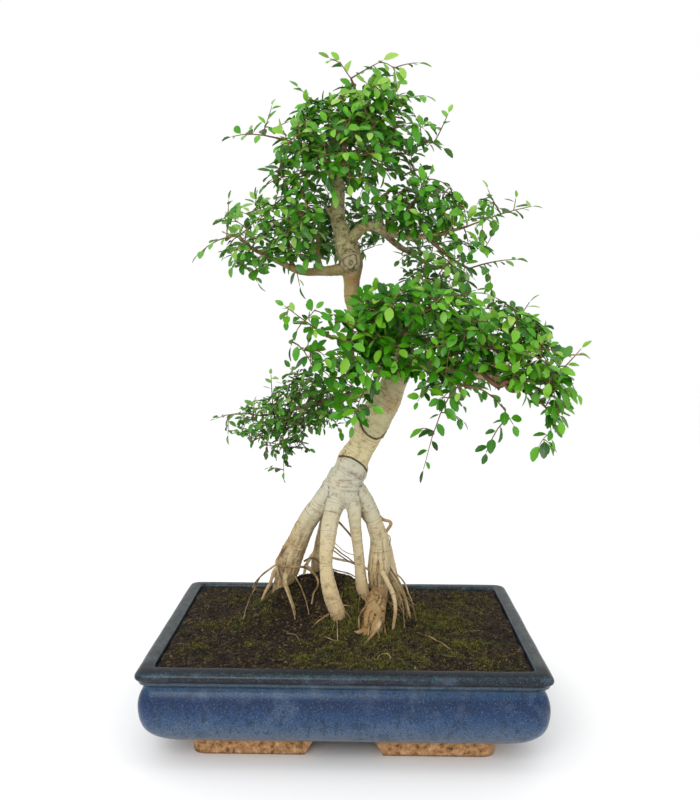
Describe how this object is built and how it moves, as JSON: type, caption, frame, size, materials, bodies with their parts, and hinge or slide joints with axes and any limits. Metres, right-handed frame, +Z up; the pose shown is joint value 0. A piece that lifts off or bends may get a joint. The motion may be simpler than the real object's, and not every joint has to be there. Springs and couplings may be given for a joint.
{
  "type": "potted bonsai tree",
  "caption": "Zelkova bonsai on exposed roots, with layered leafy pads, standing in soil in a blue glazed rectangular tray pot on feet.",
  "frame": {"origin": "bottom centre of the bounding box of the tree and its pot, on the plane that the pot's feet stand on", "axes": "+Z up, +X to the right along the pot's long side as seen from the front, +Y from the front to the back"},
  "size_m": [0.4526, 0.308, 0.7372],
  "materials": {
    "glazed_stoneware": "gloss",
    "plastic_mesh": "matt",
    "soil": "matt",
    "bark": "matt",
    "foliage": "satin"
  },
  "bodies": {
    "root": {"pot": "glazed_stoneware", "drain_screen_left": "plastic_mesh", "drain_screen_right": "plastic_mesh", "soil": "soil", "tree_wood": "bark", "spray_apex_top": "foliage", "spray_apex_left": "foliage", "spray_apex_upper_left": "foliage", "spray_apex_right": "foliage", "spray_apex_upper_right": "foliage", "spray_apex_front": "foliage", "spray_apex_back": "foliage", "spray_apex_low_left": "foliage", "spray_apex_low_right": "foliage", "spray_midleft_outer": "foliage", "spray_midleft_inner": "foliage", "spray_midleft_back": "foliage", "spray_midright_outer": "foliage", "spray_midright_upper": "foliage", "spray_midright_low": "foliage", "spray_midright_back": "foliage", "spray_mid_back": "foliage", "spray_front_outer": "foliage", "spray_front_hanging": "foliage", "spray_front_right_upper": "foliage", "spray_front_middle": "foliage", "spray_front_upper": "foliage", "spray_front_left": "foliage", "spray_front_centre": "foliage", "spray_front_low": "foliage", "spray_lowleft_outer": "foliage", "spray_lowleft_inner": "foliage", "spray_lowleft_hanging": "foliage", "spray_back": "foliage", "spray_back_right": "foliage"}
  },
  "joints": []
}
